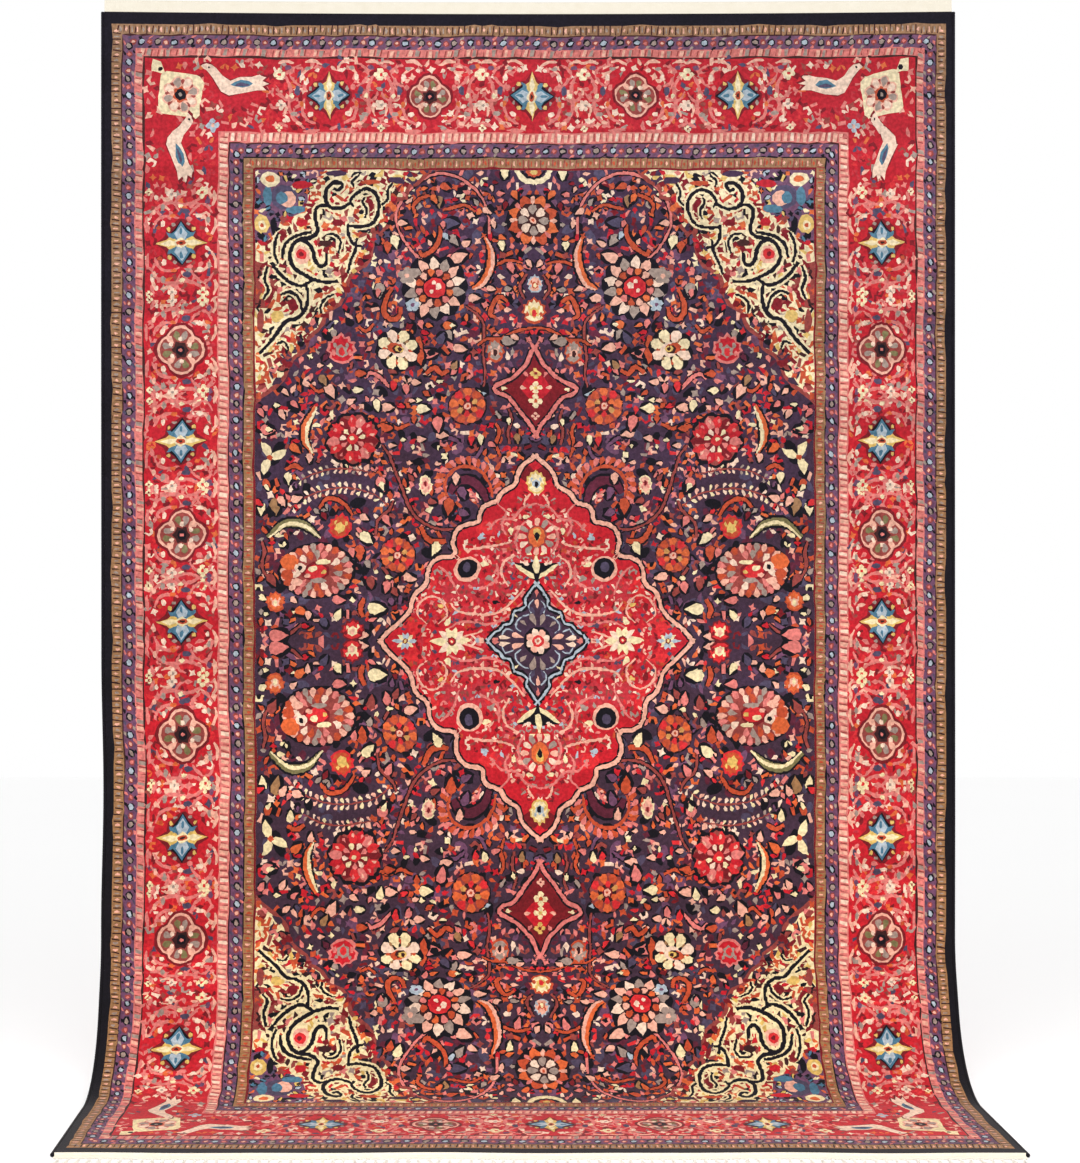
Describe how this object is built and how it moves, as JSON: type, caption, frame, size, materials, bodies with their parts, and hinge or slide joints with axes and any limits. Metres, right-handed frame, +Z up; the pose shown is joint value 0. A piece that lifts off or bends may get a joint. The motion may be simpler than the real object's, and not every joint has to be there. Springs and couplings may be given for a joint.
{
  "type": "persian rug",
  "caption": "Hand-knotted wool rug with a medallion field and banded border, hung by its top end so its lower end curves forward onto the floor, with a cotton fringe.",
  "frame": {"origin": "middle of the bounding box's footprint, on the floor that the rug's lower end lies on", "axes": "+Z up, the pile faces -Y and the lower end runs forward along -Y, +X to the right as seen from the front"},
  "size_m": [2.079, 0.7996, 2.5993],
  "materials": {
    "pile": "hand-knotted wool pile, madder red, indigo and ivory",
    "edge": "dark wool overcasting round bundled warps",
    "web": "plain-woven cotton",
    "fringe": "knotted cotton warp ends"
  },
  "bodies": {
    "root": {"knotted_pile": "pile", "selvedge_left": "edge", "selvedge_right": "edge", "kilim_top": "web", "kilim_bottom": "web", "fringe_bottom": "fringe"}
  },
  "joints": []
}
